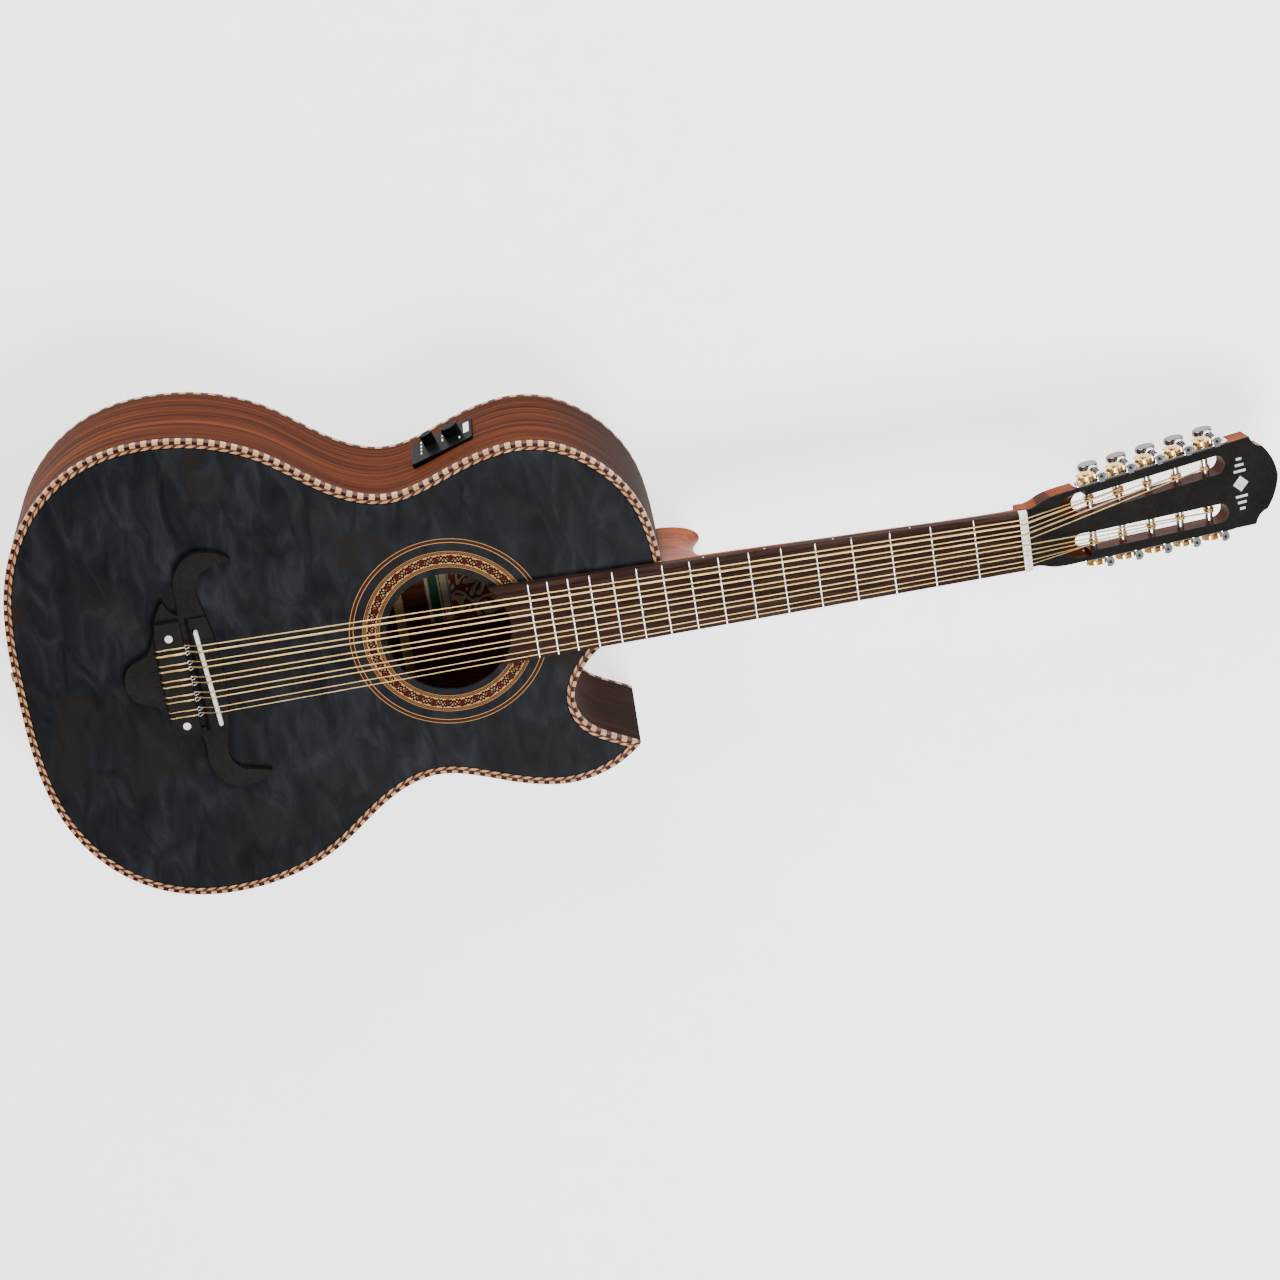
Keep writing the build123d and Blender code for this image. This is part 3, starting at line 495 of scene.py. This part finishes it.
def edge_strip(name, node, slot_name, up, paint_kind, pitch, *share):
    """A strip in place of a node, with blocks or dashes of about a pitch that close round the outline."""
    loops = face_loops(node, up)
    low, high = (corner.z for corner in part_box(node))
    wide = (loop_length(loops[0]) - loop_length(loops[1])) / (2 * math.pi)
    outline = even_loop(loops[0], 0.0015, 0.006)
    total = sum((outline[(i + 1) % len(outline)] - outline[i]).length for i in range(len(outline)))
    pitch = total / round(total / pitch)
    round_off = min(0.0006, wide / 4) if up > 0 and slot_name == "binding" else 0.0
    face, back = (high, low) if up > 0 else (low, high)
    sign = 1 if up > 0 else -1
    profile = [(0, back, 0.0), (0, face - sign * round_off, 0.3)]
    if round_off:
        profile += [(0.3 * round_off, face - 0.3 * round_off, 0.35)]
    profile += [(round_off, face, 0.4), (wide, face, 1.0), (wide, back, 1.0)]
    if slot_name != "binding":
        profile = [(0, back, 0.0), (0, face, 0.0), (wide, face, 1.0), (wide, back, 1.0)]
    return strip(name, node, paint_kind(name + "_paint", pitch, *share), outline, profile)


edge_strip("top_binding_blocks", "top_binding", "binding", 1, block_binding, 0.0093, 0.53)
edge_strip("top_purfling_rope", "top_purfling", "marquetry", 1, rope_purfling, 0.0093)
edge_strip("back_binding_dashes", "back_binding", "binding", -1, block_binding, 0.0125, 0.5)


# ---- the strings' tied ends ----

tie_block_rear = nut_x - 0.727
tie_block_front = nut_x - 0.704
tie_block_top = top_z + 0.0095
tie_block_mouth = tie_block_front + 0.0025
mouth_reach = 0.012
thinnest, thickest = 0.0004, 0.0009
wrap_pitch = 0.0042
eye_wire = 0.0003


def wire(name, points, radius, paint):
    curve = bpy.data.curves.new(name, "CURVE")
    curve.dimensions = "3D"
    curve.bevel_depth = radius
    curve.bevel_resolution = 3
    curve.use_fill_caps = True
    spline = curve.splines.new("POLY")
    spline.points.add(len(points) - 1)
    for point, co in zip(spline.points, points):
        point.co = (*co, 1)
    obj = bpy.data.objects.new(name, curve)
    bpy.context.scene.collection.objects.link(obj)
    curve.materials.append(paint)
    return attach(obj, "instrument")


def smooth(corners, count):
    """Points on a Catmull-Rom curve through the corners."""
    ends = [corners[0] * 2 - corners[1]] + corners + [corners[-1] * 2 - corners[-2]]
    out = []
    spans = len(corners) - 1
    for i in range(count):
        at = i / (count - 1) * spans
        k = min(int(at), spans - 1)
        t = at - k
        a, b, c, d = ends[k:k + 4]
        out.append(0.5 * (2 * b + (c - a) * t + (2 * a - 5 * b + 4 * c - d) * t * t
                          + (3 * b - a - 3 * c + d) * t ** 3))
    return out


def twisted(corners, radius, pitch, phase, count=150):
    """A strand that winds round the curve through the corners."""
    path = smooth(corners, count)
    out, run = [], 0.0
    for i, q in enumerate(path):
        ahead = (path[min(i + 1, count - 1)] - path[max(i - 1, 0)]).normalized()
        side = Vector((0, 1, 0))
        up = ahead.cross(side).normalized()
        run += (q - path[i - 1]).length if i else 0.0
        angle = 2 * math.pi * run / pitch + phase
        out.append(q + radius * (math.cos(angle) * side + math.sin(angle) * up))
    return out


def string_ends():
    """(y, z, radius) of each string where it leaves the tie block, from the strings' own meshes."""
    found = []
    for course in range(1, 6):
        mesh = nodes[f"course_{course}_strings"].data
        near = sorted((v.co.y, v.co.z) for v in mesh.vertices if abs(v.co.x - tie_block_mouth) < mouth_reach)
        if not near:
            continue
        middle = (near[0][0] + near[-1][0]) / 2
        for group in ([q for q in near if q[0] < middle], [q for q in near if q[0] >= middle]):
            ys = [q[0] for q in group]
            zs = [q[1] for q in group]
            found.append(((min(ys) + max(ys)) / 2, min(zs), (max(ys) - min(ys)) / 2))
    return found


def tie_strings():
    """Over the tie block each string is wrapped by its own twisted end, and in front of it by an eye."""
    rear, front, top = tie_block_rear, tie_block_front, tie_block_top
    for number, (y, z, radius) in enumerate(string_ends(), 1):
        r = min(max(radius, thinnest), thickest)
        lift = top + r + 0.0003
        corners = [Vector((rear - 0.0009, y, z + 0.001)), Vector((rear - 0.0011, y, top - 0.0015)),
                   Vector((rear + 0.0012, y, lift)), Vector((rear + 0.009, y + 0.0003, lift)),
                   Vector((front - 0.006, y - 0.0003, lift)), Vector((front + 0.0003, y, lift - 0.0003))]
        for strand in range(2):
            wire(f"tie_wrap_{number}_{strand + 1}", twisted(corners, 0.55 * r, wrap_pitch, math.pi * strand),
                 0.52 * r, paints["string_bronze"])
        half_eye = [(-0.0005, 0.0, 0.0001), (0.0016, 0.0015, 0.0002), (0.0036, 0.0011, 0.0012),
                    (0.0054, 0.0, 0.003)]
        whole_eye = half_eye + [(ahead, -aside, drop) for ahead, aside, drop in reversed(half_eye[:-1])]
        eye = [Vector((front + ahead, y + aside, lift - drop)) for ahead, aside, drop in whole_eye]
        wire(f"tie_eye_{number}", smooth(eye, 60), eye_wire, paints["nickel"])


tie_strings()


# ---- the preamp's printed marks ----

print_thickness = 0.00012
mark_width = 0.0012


def mark(name, centre, along, out, length, width):
    """A thin bar with rounded ends, lying on the panel."""
    across = out.cross(along).normalized()
    rim = []
    for end in (1, -1):
        for k in range(9):
            angle = math.pi * (k / 8 - 0.5)
            rim.append(centre + along * end * ((length - width) / 2 + width / 2 * math.cos(angle))
                       + across * end * width / 2 * math.sin(angle))
    count = len(rim)
    verts = rim + [q + out * print_thickness for q in rim]
    faces = [tuple(range(count, 2 * count)), tuple(reversed(range(count)))]
    faces += [(i, (i + 1) % count, (i + 1) % count + count, i + count) for i in range(count)]
    mesh = bpy.data.meshes.new(name)
    mesh.from_pydata(verts, [], faces)
    obj = bpy.data.objects.new(name, mesh)
    bpy.context.scene.collection.objects.link(obj)
    mesh.materials.append(paints["window_plastic"])
    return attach(obj, "instrument")


def preamp_marks():
    """Marks placed by the two knobs' own joints, which lie on the panel's plane."""
    joints = {j["name"]: j for j in frame["joints"]}
    volume, tone = (Vector(joints[n]["pos_m"]) for n in ("volume_knob_turn", "tone_knob_turn"))
    out = Vector(joints["volume_knob_turn"]["axis"]).normalized()
    down = Vector((0, 0, -1))
    along = down.cross(out).normalized()
    origin = volume + along * 0.0105 - down * 0.0085
    proud = max((v.co - origin).dot(out) for v in nodes["preamp"].data.vertices)
    places = [(-0.0187, 0.0185 - 0.0085 * k, 0.005) for k in range(4)]
    places += [(0.001, 0.001, 0.006), (0.001, 0.0105, 0.0035), (0.0168, -0.0125, 0.0045)]
    for number, (x, y, length) in enumerate(places, 1):
        centre = origin + along * x + down * y + out * (proud + 0.00001)
        mark(f"panel_mark_{number}", centre, down, out, length, mark_width)


preamp_marks()


# ---- softened edges on the turned and carved pieces ----

for name, width in (("bridge", 0.0005), ("nut", 0.0004), ("saddle", 0.0004), ("headplate", 0.0003)):
    weld = nodes[name].modifiers.new("weld", "WELD")
    weld.merge_threshold = 0.000002
    bevel = nodes[name].modifiers.new("soften", "BEVEL")
    bevel.width = width
    bevel.segments = 2
    bevel.limit_method = "ANGLE"
    bevel.angle_limit = math.radians(40)
    bevel.harden_normals = True


# ---- floor, light and camera ----

floor_half = 6
floor_level = -0.0005


def build_stage():
    mesh = bpy.data.meshes.new("floor")
    corners = [(x * floor_half, y * floor_half, floor_level) for x, y in ((-1, -1), (1, -1), (1, 1), (-1, 1))]
    mesh.from_pydata(corners, [], [(0, 1, 2, 3)])
    floor = bpy.data.objects.new("floor", mesh)
    bpy.context.scene.collection.objects.link(floor)
    p = Paint("floor_paint")
    speck = p.noise(p.place((40, 40, 40)), detail=3)
    mesh.materials.append(p.finish(p.ramp(speck, (0.3, (0.86, 0.86, 0.86)), (0.7, (0.9, 0.9, 0.9))), 0.8))
    p.shader.inputs["Emission Color"].default_value = (1, 1, 1, 1)
    p.shader.inputs["Emission Strength"].default_value = 1.8


def area_light(name, place, target, size, power, colour=(1, 1, 1)):
    data = bpy.data.lights.new(name, "AREA")
    data.shape = "DISK"
    data.size = size
    data.energy = power
    data.color = colour
    light = bpy.data.objects.new(name, data)
    light.location = place
    light.rotation_euler = (Vector(target) - Vector(place)).to_track_quat("-Z", "Y").to_euler()
    bpy.context.scene.collection.objects.link(light)


build_stage()
world = bpy.data.worlds.new("studio")
world.use_nodes = True
backdrop = next(n for n in world.node_tree.nodes if n.type == "BACKGROUND")
backdrop.inputs["Color"].default_value = (1, 1, 1, 1)
backdrop.inputs["Strength"].default_value = 0.38
bpy.context.scene.world = world
area_light("key", (0.35, -1.1, 2.1), (0, 0, 0.1), 1.1, 62)
area_light("side", (-0.5, 2.3, 1.2), (-0.1, 0, 0.06), 1.6, 62, (1, 0.97, 0.93))
area_light("head", (1.5, 0.6, 1.5), (0.4, 0, 0.08), 0.9, 16)

camera_data = bpy.data.cameras.new("photo_view")
camera_data.lens = 103.09
camera_data.sensor_width = 36.0
camera = bpy.data.objects.new("photo_view", camera_data)
turned = Matrix(((0.987275, 0.158957, -0.004611),
                 (-0.144957, 0.911489, 0.384936),
                 (0.065391, -0.379369, 0.922932)))
camera.matrix_world = Matrix.Translation((-0.0275, 1.1519, 2.9704)) @ turned.to_4x4()
bpy.context.scene.collection.objects.link(camera)
bpy.context.scene.camera = camera
